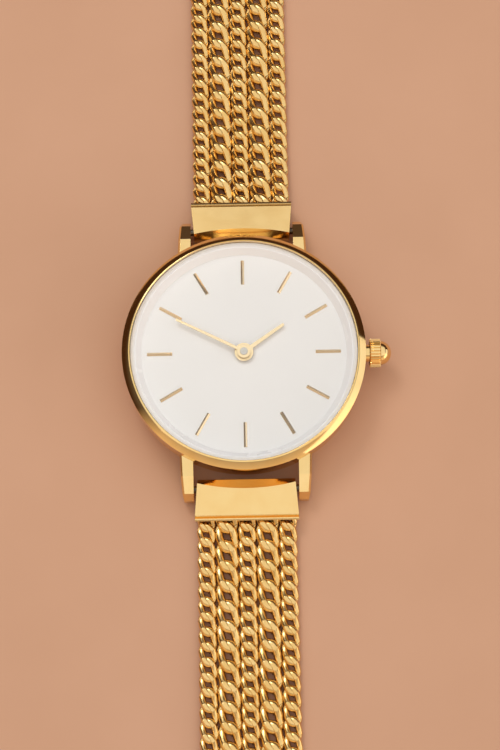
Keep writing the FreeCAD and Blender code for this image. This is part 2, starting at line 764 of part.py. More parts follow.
def end_piece():
    """The cap that turns on its bar: a barrel, a body that widens to the lip, and a pocket.

    The bar's axis is the origin and the lip looks along +Y.
    """
    low, high = -size.barrel_radius, size.end_lip_height
    length = size.end_length
    body = side_outline([(0, size.barrel_radius), (length, high), (length, low), (0, low)])
    body.translate(X * -10)
    body = body.fuse(cross_rod(size.barrel_radius, -10, 10, 0, 0)).removeSplitter()
    case_half, half, corner = size.end_half_case, size.end_half, size.end_round * 1.5
    case_end = -size.barrel_radius - 1
    right = [Vector(case_half, case_end, 0), Vector(case_half, -size.barrel_radius, 0),
             Vector(half, size.end_shoulder, 0), Vector(half, length - corner, 0)]
    edges = [Part.makeLine(a, b) for a, b in zip(right, right[1:])]
    middle = Vector(half - corner, length - corner, 0) + Vector(corner, corner, 0) * math.sqrt(0.5)
    edges.append(Part.Arc(right[-1], middle, Vector(half - corner, length, 0)).toShape())
    mirrored = [edge.mirror(Vector(), X) for edge in edges]
    edges += mirrored
    edges.append(Part.makeLine(Vector(half - corner, length, 0), Vector(corner - half, length, 0)))
    edges.append(Part.makeLine(Vector(case_half, case_end, 0), Vector(-case_half, case_end, 0)))
    plan = Part.Face(Part.Wire(Part.__sortEdges__(edges))).extrude(Z * 6)
    plan.translate(Z * -3)
    cap = body.common(plan)
    rims = [edge for edge in cap.Edges if all(v.Y > length - corner - 1e-3 for v in edge.Vertexes)
            and abs(edge.BoundBox.ZLength) < 0.2]
    cap = cap.makeFillet(size.end_round * 0.9, rims)
    pocket_half = half - size.end_wall
    pocket = Part.makeBox(2 * pocket_half, length, pocket_high - pocket_low,
                          Vector(-pocket_half, size.pocket_back, pocket_low))
    return cap.cut([pocket, cross_rod(size.bar_radius + size.running, -10, 10, 0, 0)])


pocket_low = -size.barrel_radius + size.end_floor
pocket_high = -2 * size.chain_drop - pocket_low
hinge_reach = size.end_length + size.hinge_beyond_lip


def chain_anchor():
    """The bar that fills the pocket's back, with the last link of each strand soldered in."""
    half = size.end_half - size.end_wall
    bar = Part.makeBox(2 * half, size.solder_bar, pocket_high - pocket_low,
                       Vector(-half, size.pocket_back, pocket_low))
    room = Part.makeBox(40, 40, 40, Vector(-20, size.pocket_back + 0.2, -20))
    links = []
    for strand, x in strand_places():
        middle = hinge_reach - size.row_length / strand[3] / 2
        links.append(at(FORMS[strand], x, middle, -size.chain_drop).common(room))
    return bar.fuse(links)


ROW, CAP, ANCHOR = chain_row(), end_piece(), chain_anchor()
chain_level = size.large_flat / 2 + size.floor_play
pin_level = size.barrel_radius + size.floor_play
hinges = {}


def sloped(y, z, fall):
    """A place in the side's own run, falling by an angle as Y grows."""
    return Placement(Vector(0, y, z), Rotation(X, -math.degrees(fall)))


def bracelet_side(name, tilt, side):
    """One half of the bracelet, from the bar at the case to the pin at the clasp."""
    slope = math.radians(tilt)
    base = sloped(size.bar_reach, size.bar_height, slope)
    node("end_piece_" + name, solid("end_piece_" + name, CAP, side * base))
    node("chain_anchor_" + name, solid("chain_anchor_" + name, ANCHOR, side * base))
    start = base * Vector(0, hinge_reach, -size.chain_drop)
    y, z, last = start.y, start.z, slope
    rows = int(size.rows)
    clasp_chain_level = pin_level - size.chain_drop
    for count in range(1, rows + 1):
        goal = {rows: clasp_chain_level}.get(count, chain_level)
        fall = math.asin((z - goal) / size.row_length)
        label = f"chain_{name}_{count}"
        node(label, solid(label, ROW, side * sloped(y, z, fall)))
        hinges[label] = (y, z, math.degrees(fall - last))
        y += size.row_length * math.cos(fall)
        z = goal
        last = fall
    hinges["clasp_end_" + name] = (y, z, math.degrees(-last))
    clasp_base = Placement(Vector(0, y + hinge_reach, pin_level), TURNED)
    node("clasp_end_" + name, solid("clasp_end_" + name, CAP, side * clasp_base))
    node("clasp_anchor_" + name, solid("clasp_anchor_" + name, ANCHOR, side * clasp_base))
    hinges["pin_" + name] = (y + hinge_reach, pin_level, 0.0)
    return Placement(Vector(0, y + hinge_reach, 0), Rotation())


UP_SIDE = Placement()
DOWN_SIDE = Placement(Vector(), TURNED)
clasp_start = bracelet_side("12", size.tilt_12, UP_SIDE)
ladder_start = bracelet_side("6", size.tilt_6, DOWN_SIDE)

# clasp, drawn from its hinge pin at Y = 0 outwards

ear_inner = size.lug_gap / 2
ear_outer = ear_inner + size.clasp_sheet
lid_pin = size.clasp_length - 1.0


def slab(x_half, y_low, y_high, z_low, z_high):
    return Part.makeBox(2 * x_half, y_high - y_low, z_high - z_low, Vector(-x_half, y_low, z_low))


def clasp_pin(y):
    middle = cross_rod(size.bar_radius, -size.end_half_case, size.end_half_case, y, pin_level)
    return middle.fuse(cross_rod(size.pin_radius, -ear_outer, ear_outer, y, pin_level))


def clasp_plate():
    """The channel of the clasp: a floor, two side walls and ears for both pins."""
    low = size.floor_play
    floor = slab(ear_outer, size.clasp_bend, lid_pin - 1.5, low, low + size.clasp_sheet)
    walls = slab(ear_outer, 0, lid_pin, low, size.clasp_wall_top).cut(slab(ear_inner, -9, 99, -9, 9))
    round_ears = []
    for y in (0, lid_pin):
        round_ears.append(cross_rod(pin_level - low, -ear_outer, ear_outer, y, pin_level).cut(
            cross_rod(9, -ear_inner, ear_inner, y, pin_level)))
    walls = walls.fuse(round_ears)
    pins = [cross_rod(size.pin_radius, -9, 9, y, pin_level) for y in (0, lid_pin)]
    return floor.fuse(walls).removeSplitter().cut(pins)


def clasp_lid():
    """The cover, with the knuckle it turns on and the tongue that holds a ladder rung."""
    low = size.clasp_wall_top + size.running
    high = low + size.clasp_sheet
    knuckle_half = ear_inner - 2 * size.running
    wide = slab(ear_outer, size.clasp_bend + 0.2, lid_pin - 1.4, low, high)
    wide = wide.makeFillet(0.2, [edge for edge in wide.Edges if edge.BoundBox.ZMin > high - 0.01])
    tail = slab(knuckle_half, lid_pin - 1.6, lid_pin + 0.5, low, high)
    web = slab(knuckle_half, lid_pin - 0.4, lid_pin + 0.5, pin_level, high)
    knuckle = cross_rod(size.lid_knuckle, -knuckle_half, knuckle_half, lid_pin, pin_level)
    tongue = slab(1.5, 5.0, 5.8, size.clasp_sheet + 0.9, low + 0.1)
    body = wide.fuse([tail, web, knuckle, tongue])
    return body.cut(cross_rod(size.pin_radius + size.running, -9, 9, lid_pin, pin_level))


def clasp_ladder():
    """The frame of rungs on the other end, which the clasp's tongue catches."""
    low = size.floor_play
    high = low + 0.6
    ears = slab(ear_outer, 0, size.clasp_bend + 1.2, low, high).fuse(
        cross_rod(pin_level - low, -ear_outer, ear_outer, 0, pin_level))
    ears = ears.cut([slab(ear_inner, -9, size.clasp_bend, -9, 9), cross_rod(size.pin_radius, -9, 9, 0, pin_level)])
    frame = slab(size.ladder_width / 2, size.clasp_bend + 0.8, size.ladder_length, low, high)
    rungs = int(size.ladder_rungs)
    first = size.clasp_bend + 2.0
    step = (size.ladder_length - first - size.rung_width) / rungs
    windows = []
    for count in range(rungs):
        start = first + count * step
        windows.append(slab(size.ladder_width / 2 - 0.9, start, start + step - size.rung_width * 0.6, -1, 9))
    return frame.fuse(ears).cut(windows)


def plain_pin():
    return cross_rod(size.pin_radius, -ear_outer, ear_outer, lid_pin, pin_level)


node("clasp_plate", solid("clasp_plate", clasp_plate(), clasp_start))
node("clasp_lid", solid("clasp_lid", clasp_lid(), clasp_start))
pins = Part.makeCompound([clasp_pin(0), plain_pin()])
node("clasp_pins", solid("clasp_pins", pins, clasp_start))
node("clasp_ladder", solid("clasp_ladder", clasp_ladder(), DOWN_SIDE * ladder_start))
node("ladder_pin", solid("ladder_pin", clasp_pin(0), DOWN_SIDE * ladder_start))

# check and write

doc.recompute()
for item in doc.Objects:
    if {"Invalid", "Error"} & set(item.State):
        raise RuntimeError(f"{item.Label} failed to build")
for item in nodes:
    if item.Shape.isNull() or not item.Shape.isValid() or not item.Shape.Solids:
        raise RuntimeError(f"{item.Label} has a faulty shape")
os.makedirs("parts", exist_ok=True)
for item in nodes:
    item.Shape.exportStep(f"parts/{item.Label}.step")
for name, (y, z, bend) in hinges.items():
    print(f"hinge {name}: y {y:.4f} z {z:.4f} bend {bend:.3f}")
for name, place in (("third", third_at), ("rotor", rotor_at), ("minute", minute_at)):
    print(f"axis {name}: x {place.x:.4f} y {place.y:.4f}")
print(f"lid pin y {clasp_start.Base.y + lid_pin:.4f} z {pin_level:.4f}")
print(f"{len(nodes)} parts, {sum(len(item.Shape.Solids) for item in nodes)} solids")
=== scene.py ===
import json
import math
import bmesh
import bpy
from mathutils import Matrix, Quaternion, Vector


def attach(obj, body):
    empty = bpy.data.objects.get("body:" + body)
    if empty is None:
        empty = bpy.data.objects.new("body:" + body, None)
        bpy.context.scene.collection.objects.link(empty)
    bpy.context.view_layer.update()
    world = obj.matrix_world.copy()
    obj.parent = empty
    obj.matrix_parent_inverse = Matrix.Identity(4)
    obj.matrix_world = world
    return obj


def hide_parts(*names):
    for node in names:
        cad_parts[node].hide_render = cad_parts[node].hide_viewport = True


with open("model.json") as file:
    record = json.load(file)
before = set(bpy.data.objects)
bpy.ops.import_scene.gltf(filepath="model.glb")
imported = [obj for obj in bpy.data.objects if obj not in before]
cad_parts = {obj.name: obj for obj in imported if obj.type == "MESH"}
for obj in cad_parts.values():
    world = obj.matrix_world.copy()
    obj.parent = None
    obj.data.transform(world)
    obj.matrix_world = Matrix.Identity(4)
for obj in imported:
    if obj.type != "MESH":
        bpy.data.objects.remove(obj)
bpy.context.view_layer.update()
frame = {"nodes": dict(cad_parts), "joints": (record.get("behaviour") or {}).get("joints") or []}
nodes = frame["nodes"]
joints = {joint["name"]: joint for joint in frame["joints"]}
mm = 0.001
print("frame loaded:", len(nodes), "nodes")


# materials: small helpers first, then one function for each finish

def newMaterial(name):
    material = bpy.data.materials.new(name)
    material.use_nodes = True
    tree = material.node_tree
    tree.nodes.clear()
    return material, tree


def addNode(tree, kind, sockets=None, **settings):
    node = tree.nodes.new("ShaderNode" + kind)
    for key, value in settings.items():
        setattr(node, key, value)
    for key, value in (sockets or {}).items():
        if isinstance(value, bpy.types.NodeSocket):
            tree.links.new(value, node.inputs[key])
        else:
            node.inputs[key].default_value = value
    return node


def noiseOf(tree, size, detail, stretch=(1, 1, 1), turn=0.0):
    place = addNode(tree, "TexCoord").outputs["Object"]
    mapping = addNode(tree, "Mapping", {"Vector": place, "Scale": stretch, "Rotation": (0, 0, turn)})
    noise = addNode(tree, "TexNoise", {"Vector": mapping.outputs["Vector"], "Scale": 1 / size,
                                       "Detail": detail, "Roughness": 0.5})
    return noise.outputs["Fac"]


def remap(tree, value, edges, low=0, high=1):
    ranged = addNode(tree, "MapRange", {"Value": value, "From Min": edges[0], "From Max": edges[1],
                                        "To Min": low, "To Max": high})
    return ranged.outputs["Result"]


def blendColours(tree, factor, first, second):
    mix = addNode(tree, "Mix", data_type="RGBA")
    tree.links.new(factor, mix.inputs["Factor"])
    for socket, colour in ((mix.inputs[6], first), (mix.inputs[7], second)):
        if isinstance(colour, bpy.types.NodeSocket):
            tree.links.new(colour, socket)
        else:
            socket.default_value = (*colour, 1)
    return mix.outputs[2]


def finishWith(tree, shader):
    output = addNode(tree, "OutputMaterial")
    tree.links.new(shader, output.inputs["Surface"])


metalLook = {
    "patchSize": 2.5 * mm, "patchDetail": 4, "tintEdges": (0.35, 0.65), "glossEdges": (0.3, 0.7),
    "glossSpread": 0.03, "scratchSize": 0.05 * mm, "scratchDetail": 2, "scratchStretch": (1, 0.04, 0.04),
    "scratchStrength": 0.25, "scratchDepth": 0.003 * mm, "edgeRadius": 0.05 * mm, "edgeSamples": 4,
}


# polished or brushed metal: faint patches, hairlines one way and softened edges
def metalFinish(name, tones, roughness, edgeRadius=metalLook["edgeRadius"],
                scratchDepth=metalLook["scratchDepth"], scratchTurn=0.0):
    material, tree = newMaterial(name)
    patches = noiseOf(tree, metalLook["patchSize"], metalLook["patchDetail"])
    hairlines = noiseOf(tree, metalLook["scratchSize"], metalLook["scratchDetail"],
                        metalLook["scratchStretch"], scratchTurn)
    spread = metalLook["glossSpread"]
    glossValue = remap(tree, patches, metalLook["glossEdges"], roughness - spread, roughness + spread)
    tint = blendColours(tree, remap(tree, patches, metalLook["tintEdges"]), *tones)
    bump = addNode(tree, "Bump", {"Height": hairlines, "Strength": metalLook["scratchStrength"],
                                  "Distance": scratchDepth})
    if edgeRadius:
        rounded = addNode(tree, "Bevel", {"Radius": edgeRadius}, samples=metalLook["edgeSamples"])
        tree.links.new(rounded.outputs["Normal"], bump.inputs["Normal"])
    shader = addNode(tree, "BsdfPrincipled", {"Base Color": tint, "Metallic": 1.0, "Roughness": glossValue,
                                              "Normal": bump.outputs["Normal"]})
    finishWith(tree, shader.outputs["BSDF"])
    return material


# two tones of each metal, the second for its warmer or duller patches
metalTones = {
    "case": ((0.91, 0.66, 0.30), (0.88, 0.61, 0.25)), "cap": ((0.93, 0.66, 0.29), (0.92, 0.63, 0.26)),
    "chain": ((0.88, 0.62, 0.27), (0.81, 0.53, 0.19)), "hand": ((0.88, 0.71, 0.45), (0.86, 0.68, 0.41)),
    # the bar tones are painted shade: a near-black brown in place of steel, for the dark gap round the
    # spring bars
    "marker": ((0.88, 0.73, 0.50), (0.86, 0.70, 0.46)), "bar": ((0.12, 0.10, 0.08), (0.10, 0.08, 0.06)),
    "pin": ((0.60, 0.57, 0.52), (0.55, 0.52, 0.47)), "steel": ((0.62, 0.61, 0.59), (0.56, 0.55, 0.53)),
    "darkSteel": ((0.33, 0.33, 0.34), (0.28, 0.28, 0.29)), "brass": ((0.78, 0.57, 0.27), (0.72, 0.50, 0.22)),
    "copper": ((0.60, 0.25, 0.12), (0.52, 0.20, 0.09)),
}
caseGold = metalFinish("caseGold", metalTones["case"], 0.08)
capGold = metalFinish("capGold", metalTones["cap"], 0.16, scratchTurn=1.57)
chainGold = metalFinish("chainGold", metalTones["chain"], 0.20, edgeRadius=0)
handGold = metalFinish("handGold", metalTones["hand"], 0.24, edgeRadius=0.015 * mm)
markerGold = metalFinish("markerGold", metalTones["marker"], 0.20, edgeRadius=0)
crownGold = metalFinish("crownGold", metalTones["case"], 0.12, edgeRadius=0)
# the spring bars get this painted shade rather than the colour of their steel
barSteelPaintedShade = metalFinish("barSteelPaintedShade", metalTones["bar"], 0.35)
pinSteel = metalFinish("pinSteel", metalTones["pin"], 0.22, edgeRadius=0.01 * mm)
steel = metalFinish("steel", metalTones["steel"], 0.26)
darkSteel = metalFinish("darkSteel", metalTones["darkSteel"], 0.32)
brass = metalFinish("brass", metalTones["brass"], 0.24)
copper = metalFinish("copperWire", metalTones["copper"], 0.34, scratchDepth=0.05 * mm)

plainLook = {
    "patchDetail": 3, "patchEdges": (0.3, 0.7), "glossSpread": 0.04, "grainDetail": 2, "grainStrength": 0.3,
}


# paint, plastic or rubber with a fine grain and slow colour patches
def plainFinish(name, tones, roughness, grainSize, grainDepth, patchSize):
    material, tree = newMaterial(name)
    grain = noiseOf(tree, grainSize, plainLook["grainDetail"])
    patches = noiseOf(tree, patchSize, plainLook["patchDetail"])
    tint = blendColours(tree, remap(tree, patches, plainLook["patchEdges"]), *tones)
    bump = addNode(tree, "Bump", {"Height": grain, "Strength": plainLook["grainStrength"],
                                  "Distance": grainDepth})
    spread = plainLook["glossSpread"]
    glossValue = remap(tree, patches, plainLook["patchEdges"], roughness - spread, roughness + spread)
    shader = addNode(tree, "BsdfPrincipled", {"Base Color": tint, "Roughness": glossValue,
                                              "Normal": bump.outputs["Normal"]})
    finishWith(tree, shader.outputs["BSDF"])
    return material


dialWhite = plainFinish("dialWhite", ((0.90, 0.88, 0.87), (0.88, 0.86, 0.85)), roughness=0.42,
                        grainSize=0.09 * mm, grainDepth=0.004 * mm, patchSize=7 * mm)
# painted light: the ring's white is brighter than the dial's to offset the shade on its steep slope
ringWhitePaintedLight = plainFinish("ringWhitePaintedLight", ((0.97, 0.95, 0.96), (0.95, 0.93, 0.94)), roughness=0.25,
                        grainSize=0.2 * mm, grainDepth=0.002 * mm, patchSize=5 * mm)
holderPlastic = plainFinish("holderPlastic", ((0.72, 0.72, 0.70), (0.66, 0.66, 0.64)), roughness=0.5,
                            grainSize=0.1 * mm, grainDepth=0.01 * mm, patchSize=4 * mm)
sealRubber = plainFinish("sealRubber", ((0.025, 0.025, 0.025), (0.04, 0.04, 0.04)), roughness=0.6,
                         grainSize=0.06 * mm, grainDepth=0.01 * mm, patchSize=2 * mm)
boardGreen = plainFinish("boardGreen", ((0.02, 0.14, 0.06), (0.03, 0.18, 0.08)), roughness=0.4,
                         grainSize=0.1 * mm, grainDepth=0.005 * mm, patchSize=1 * mm)

glassLook = {
    "tint": (0.985, 0.99, 0.99, 1), "ior": 1.01, "coat": 0.5, "coatRoughness": 0.01, "coatIor": 1.45,
    "straightTint": (0.97, 0.98, 0.98, 1),
}


# mineral glass with a coat that mirrors; shadow and diffuse rays pass straight through it to the dial
def glassFinish():
    material, tree = newMaterial("crystalGlass")
    shader = addNode(tree, "BsdfPrincipled", {
        "Base Color": glassLook["tint"], "Roughness": 0.0, "IOR": glassLook["ior"],
        "Transmission Weight": 1.0, "Coat Weight": glassLook["coat"],
        "Coat Roughness": glassLook["coatRoughness"], "Coat IOR": glassLook["coatIor"],
    })
    clear = addNode(tree, "BsdfTransparent", {"Color": glassLook["straightTint"]})
    rays = addNode(tree, "LightPath").outputs
    straight = addNode(tree, "Math", {0: rays["Is Shadow Ray"], 1: rays["Is Diffuse Ray"]},
                       operation="MAXIMUM")
    mix = addNode(tree, "MixShader", {0: straight.outputs["Value"], 1: shader.outputs["BSDF"],
                                      2: clear.outputs["BSDF"]})
    finishWith(tree, mix.outputs["Shader"])
    return material


crystalGlass = glassFinish()
print("materials made")

nodeFinishes = {
    "case_middle": caseGold, "bezel": caseGold, "crown": crownGold, "stem_tube": caseGold,
    "case_back": steel, "crystal": crystalGlass, "crystal_gasket": ringWhitePaintedLight, "dial_ring": ringWhitePaintedLight,
    "dial": dialWhite, "hour_markers": markerGold, "hour_hand": handGold, "minute_hand": handGold,
    "minute_arbor": pinSteel, "hour_wheel": brass, "minute_wheel": brass, "third_wheel": brass,
    "rotor": darkSteel, "stator": darkSteel, "main_plate": steel, "train_bridge": steel,
    "bridge_screws": darkSteel, "battery": steel, "oscillator_can": steel, "drive_coil": copper,
    "circuit_board": boardGreen, "movement_holder": holderPlastic, "case_back_gasket": sealRubber,
    "crown_gasket": sealRubber, "setting_lever": darkSteel, "setting_stem": steel, "spring_bars": barSteelPaintedShade,
    "clasp_pins": steel, "ladder_pin": steel, "clasp_plate": caseGold, "clasp_lid": capGold,
    "clasp_ladder": caseGold, "end_piece_12": capGold, "end_piece_6": capGold, "clasp_end_12": capGold,
    "clasp_end_6": capGold,
}


# a node without a finish of its own belongs to the chains
def paintNodes():
    for name, piece in nodes.items():
        piece.data.materials.clear()
        piece.data.materials.append(nodeFinishes.get(name, chainGold))


paintNodes()
print("frame painted")


# what all built pieces share

def vertsIn(items):
    return [item for item in items if isinstance(item, bmesh.types.BMVert)]


def edgesIn(items):
    return [item for item in items if isinstance(item, bmesh.types.BMEdge)]


def newPiece(name, mesh, material, smooth=True):
    data = bpy.data.meshes.new(name)
    mesh.to_mesh(data)
    mesh.free()
    data.materials.append(material)
    for face in data.polygons:
        face.use_smooth = smooth
    piece = bpy.data.objects.new(name, data)
    bpy.context.scene.collection.objects.link(piece)
    return piece


def hingeAt(jointName):
    return Vector(joints[jointName]["pos_m"])


def drawOutline(mesh, corners, closed):
    following = corners[1:] + corners[:1] if closed else corners[1:]
    for first, second in zip(corners, following):
        mesh.edges.new((first, second))


def spinRound(mesh, steps, mergeReach):
    bmesh.ops.spin(mesh, geom=mesh.verts[:] + mesh.edges[:], cent=(0, 0, 0), axis=(0, 0, 1),
                   angle=2 * math.pi, steps=steps, use_merge=True, use_duplicate=False)
    bmesh.ops.remove_doubles(mesh, verts=mesh.verts[:], dist=mergeReach)


# curb chains: the two kinds of link, and the strands that they make

links = {
    "rowLength": 6.8 * mm, "rowsPerSide": 8, "strands": ("small", "large", "small", "large", "small"),
    "strandGap": 0.09 * mm, "play": 0.1 * mm, "twist": math.radians(42), "lean": math.radians(14),
    "cornerGain": 1.06, "bulgeShare": 0.7, "facets": 6, "arcSteps": 2, "mergeShare": 0.12, "smoothing": 2,
    "small": {"count": 4, "width": 1.98 * mm, "wire": 0.75 * mm, "bulge": 0.05 * mm, "above": 0.66 * mm,
              "below": 0.63 * mm},
    "large": {"count": 3, "width": 2.50 * mm, "wire": 0.98 * mm, "bulge": 0.05 * mm, "above": 0.86 * mm,
              "below": 0.63 * mm},
}
bandWidth = sum(links[kind]["width"] for kind in links["strands"])
bandWidth += links["strandGap"] * (len(links["strands"]) - 1)


# the wire of one quarter of a twisted oval link about the origin, its long axis on Y
def quarterCage(kind):
    wire, facets = kind["wire"], links["facets"]
    reach = (kind["width"] - wire) / 2 * links["cornerGain"] - kind["bulge"] * links["bulgeShare"]
    length = (links["rowLength"] / kind["count"] + wire + links["play"]) / 2
    slope = math.atan(reach / length * math.tan(links["twist"]))
    sideRun = Vector((0, math.cos(slope), math.sin(slope)))
    endRun = Vector((-math.cos(links["twist"]), 0, -math.sin(links["twist"])))
    bend = reach / math.cos(links["twist"])
    turn = sideRun.angle(endRun)
    arcStart = Vector((reach, 0, 0)) + sideRun * (length / math.cos(slope) - bend)
    inward = (endRun - sideRun * sideRun.dot(endRun)).normalized()
    axis = sideRun.cross(endRun).normalized()
    swell = 6 / (4 + 2 * math.cos(2 * math.pi / facets))  # the wire shrinks by this much when it is smoothed
    cage = bmesh.new()
    facing = Matrix((inward, axis, inward.cross(axis))).transposed().to_4x4()
    bmesh.ops.create_circle(cage, segments=facets, radius=wire / 2 * swell,
                            matrix=Matrix.Translation(arcStart) @ facing)
    bmesh.ops.spin(cage, geom=cage.edges[:], cent=arcStart + inward * bend / math.tan(turn / 2), axis=axis,
                   angle=turn, steps=links["arcSteps"], use_duplicate=False)
    return cage


# bridges the open edges at one side of a link, and moves the corners halfway along the bridge outwards
def closeSide(cage, sign, bulge):
    openEdges = [edge for edge in cage.edges if edge.is_boundary and edge.verts[0].co.x * sign > 0]
    bridge = bmesh.ops.bridge_loops(cage, edges=openEdges)["edges"]
    middle = bmesh.ops.subdivide_edges(cage, edges=bridge, cuts=1)["geom_inner"]
    bmesh.ops.translate(cage, verts=vertsIn(middle), vec=(sign * bulge, 0, 0))


# a whole link: the quarter and three half turns of it, bridged sides, a lean, and flats above and below
def linkMesh(kindName):
    kind = links[kindName]
    cage = quarterCage(kind)
    quarter = cage.verts[:] + cage.edges[:] + cage.faces[:]
    for direction in ("X", "Y", "Z"):
        copied = vertsIn(bmesh.ops.duplicate(cage, geom=quarter)["geom"])
        bmesh.ops.rotate(cage, verts=copied, matrix=Matrix.Rotation(math.pi, 3, direction))
    bmesh.ops.remove_doubles(cage, verts=cage.verts[:], dist=kind["wire"] * links["mergeShare"])
    for sign in (1, -1):
        closeSide(cage, sign, kind["bulge"])
    bmesh.ops.recalc_face_normals(cage, faces=cage.faces[:])
    bmesh.ops.rotate(cage, verts=cage.verts[:], matrix=Matrix.Rotation(links["lean"], 3, "Z"))
    for corner in cage.verts:
        corner.co.z = max(-kind["below"], min(kind["above"], corner.co.z))
    data = bpy.data.meshes.new("link_" + kindName)
    cage.to_mesh(data)
    cage.free()
    return data


linkMeshes = {kindName: linkMesh(kindName) for kindName in ("small", "large")}


def addLink(chainMesh, kindName, matrix):
    before = len(chainMesh.verts)
    chainMesh.from_mesh(linkMeshes[kindName])
    chainMesh.verts.ensure_lookup_table()
    bmesh.ops.transform(chainMesh, verts=chainMesh.verts[before:], matrix=matrix)


def smoothOver(piece, levels):
    smoother = piece.modifiers.new("smoothing", "SUBSURF")
    smoother.levels = levels
    smoother.render_levels = levels


def strandPlaces():
    left = -bandWidth / 2
    for kindName in links["strands"]:
        width = links[kindName]["width"]
        yield kindName, left + width / 2
        left += width + links["strandGap"]


# the place of a row whose near hinge line is at start and its far one at end
def rowFrame(start, end):
    along = (end - start).normalized()
    across = along.cross(Vector((0, 0, 1))).normalized()
    facing = Matrix((across, along, across.cross(along))).transposed().to_4x4()
    return Matrix.Translation(start) @ facing


def buildRow(name, start, end):
    place = rowFrame(start, end)
    row = bmesh.new()
    for kindName, x in strandPlaces():
        pitch = links["rowLength"] / links[kindName]["count"]
        for index in range(links[kindName]["count"]):
            addLink(row, kindName, place @ Matrix.Translation((x, pitch * (index + 0.5), 0)))
    piece = newPiece(name + "_links", row, chainGold)
    smoothOver(piece, links["smoothing"])
    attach(piece, name)
    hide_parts(name)


def buildChains():
    rows = links["rowsPerSide"]
    for side in ("12", "6"):
        hinges = [hingeAt(f"chain_{side}_{index}_bend") for index in range(1, rows + 1)]
        hinges.append(hingeAt(f"clasp_end_{side}_bend"))
        for index in range(rows):
            buildRow(f"chain_{side}_{index + 1}", hinges[index], hinges[index + 1])


buildChains()
print("chains built")


# the two halves of the bracelet: which way they face, how the cap slopes, and the hinge at the clasp

halfTurn = Matrix.Rotation(math.pi, 4, "Z")
halves = {
    "12": {"facing": Matrix(), "tilt": math.radians(10), "claspJoint": "clasp_swing"},
    "6": {"facing": halfTurn, "tilt": math.radians(15), "claspJoint": "clasp_ladder_swing"},
}
springBar = {"reach": 15.5 * mm, "height": 2.1 * mm}


def atSpringBar(side):
    slope = Matrix.Rotation(-halves[side]["tilt"], 4, "X")
    return halves[side]["facing"] @ Matrix.Translation((0, springBar["reach"], springBar["height"])) @ slope


def atClasp(side):
    return Matrix.Translation(hingeAt(halves[side]["claspJoint"])) @ halves[side]["facing"] @ halfTurn


# the last links of the strands, soldered to a bar inside each cap

anchors = {
    "hingeReach": 4.35 * mm, "drop": 0.15 * mm, "barHalf": 5.6 * mm, "barBack": 1.4 * mm,
    "barDepth": 1.0 * mm, "barLow": -0.85 * mm, "barHigh": 0.55 * mm, "barRound": 0.12 * mm,
    "barSegments": 2,
}


def buildAnchor(name, body, place):
    joined = bmesh.new()
    for kindName, x in strandPlaces():
        middle = anchors["hingeReach"] - links["rowLength"] / links[kindName]["count"] / 2
        addLink(joined, kindName, place @ Matrix.Translation((x, middle, -anchors["drop"])))
    piece = newPiece(name + "_links", joined, chainGold)
    smoothOver(piece, links["smoothing"])
    solder = bmesh.new()
    depth, low, high = anchors["barDepth"], anchors["barLow"], anchors["barHigh"]
    scale = Matrix.Diagonal((2 * anchors["barHalf"], depth, high - low, 1))
    centre = Matrix.Translation((0, anchors["barBack"] + depth / 2, (low + high) / 2))
    bmesh.ops.create_cube(solder, size=1, matrix=centre @ scale)
    bmesh.ops.bevel(solder, geom=solder.edges[:], offset=anchors["barRound"], affect="EDGES",
                    segments=anchors["barSegments"], profile=0.5, material=-1)
    bmesh.ops.transform(solder, verts=solder.verts[:], matrix=place)
    bar = newPiece(name + "_bar", solder, chainGold)
    for item in (piece, bar):
        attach(item, body)
        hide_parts(name)


for side in halves:
    buildAnchor("chain_anchor_" + side, "end_piece_" + side, atSpringBar(side))
    buildAnchor("clasp_anchor_" + side, "clasp_end_" + side, atClasp(side))
print("anchors built")


# end pieces: a barrel on the bar, a scooped front that follows the case, a grooved lip and a pocket

capShape = {
    "half": 5.92 * mm, "halfCase": 5.55 * mm, "shoulder": 1.5 * mm, "length": 3.55 * mm, "fall": 0.0845,
    "radius": 1.15 * mm, "barrelStart": 240, "barrelStep": -15, "barrelEnd": 164, "scoopEdge": -0.80 * mm,
    "scoopSag": 0.66 * mm, "grooveAt": 2.92 * mm, "grooveWidth": 0.34 * mm, "grooveDepth": 0.26 * mm,
    "lipTop": 0.85 * mm, "wall": 0.28 * mm, "pocket": 2.1 * mm, "edge": 0.05 * mm, "slices": 24,
    "flush": 0.0001 * mm, "sharp": math.radians(25),
}


def capProfile():
    radius, length, edge, fall = (capShape[key] for key in ("radius", "length", "edge", "fall"))
    points = [(length, -radius), (0, -radius)]
    turns = range(capShape["barrelStart"], capShape["barrelEnd"], capShape["barrelStep"])
    for turn in (*turns, capShape["barrelEnd"]):
        points.append((radius * math.cos(math.radians(turn)), radius * math.sin(math.radians(turn))))
    points.append((capShape["scoopEdge"], 0))
    near, top = capShape["grooveAt"], capShape["lipTop"]
    far, floor = near + capShape["grooveWidth"], top - capShape["grooveDepth"]
    points += [(near, radius - near * fall), (near + edge, floor), (near + 2 * edge, floor), (far, top)]
    points += [(length - edge, top - edge / 2), (length, top - edge)]
    return points


def halfWidthAt(y):
    share = (y + capShape["radius"]) / (capShape["shoulder"] + capShape["radius"])
    return capShape["halfCase"] + (capShape["half"] - capShape["halfCase"]) * max(0.0, min(1.0, share))


